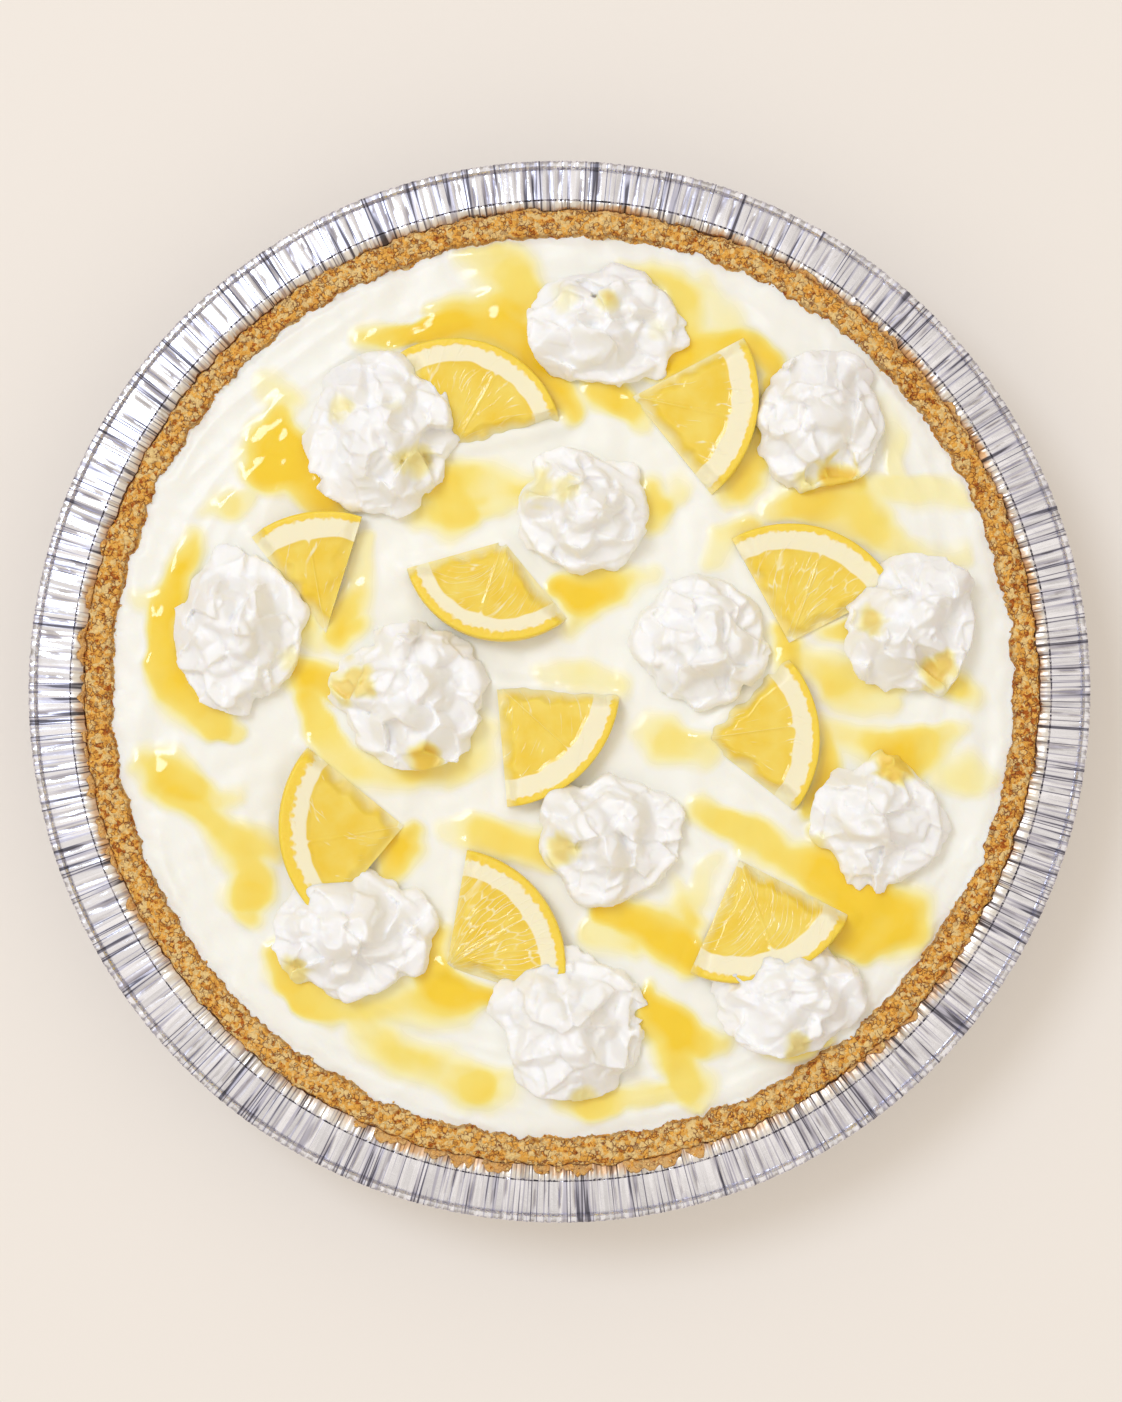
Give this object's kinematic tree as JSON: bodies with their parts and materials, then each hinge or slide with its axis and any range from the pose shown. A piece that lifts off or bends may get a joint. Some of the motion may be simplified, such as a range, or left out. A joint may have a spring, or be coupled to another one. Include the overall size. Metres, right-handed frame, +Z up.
{
  "type": "lemon cheesecake pie",
  "caption": "Whole round cheesecake pie in a pleated foil pan, with a crumb crust, pale lemon filling, drizzled sauce, piped cream dollops and lemon slices, for serving.",
  "frame": {"origin": "centre of the pan's underside, on the surface that the pie stands on", "axes": "+Z up out of the pan; +X and +Y to the right and top of the pie as the picture shows it from above"},
  "size_m": [0.229, 0.229, 0.0495],
  "materials": {
    "foil": "thin rolled foil, bright, pleated and creased",
    "crumb_crust": null,
    "cream_filling": null,
    "whipped_cream": null,
    "lemon_slice": null
  },
  "bodies": {
    "root": {"foil_pan": "foil", "crust": "crumb_crust", "filling": "cream_filling", "cream_dollop_01": "whipped_cream", "cream_dollop_02": "whipped_cream", "cream_dollop_03": "whipped_cream", "cream_dollop_04": "whipped_cream", "cream_dollop_05": "whipped_cream", "cream_dollop_06": "whipped_cream", "cream_dollop_07": "whipped_cream", "cream_dollop_08": "whipped_cream", "cream_dollop_09": "whipped_cream", "cream_dollop_10": "whipped_cream", "cream_dollop_11": "whipped_cream", "cream_dollop_12": "whipped_cream", "cream_dollop_13": "whipped_cream", "lemon_slice_01": "lemon_slice", "lemon_slice_02": "lemon_slice", "lemon_slice_03": "lemon_slice", "lemon_slice_04": "lemon_slice", "lemon_slice_05": "lemon_slice", "lemon_slice_06": "lemon_slice", "lemon_slice_07": "lemon_slice", "lemon_slice_08": "lemon_slice", "lemon_slice_09": "lemon_slice", "lemon_slice_10": "lemon_slice"}
  },
  "joints": []
}
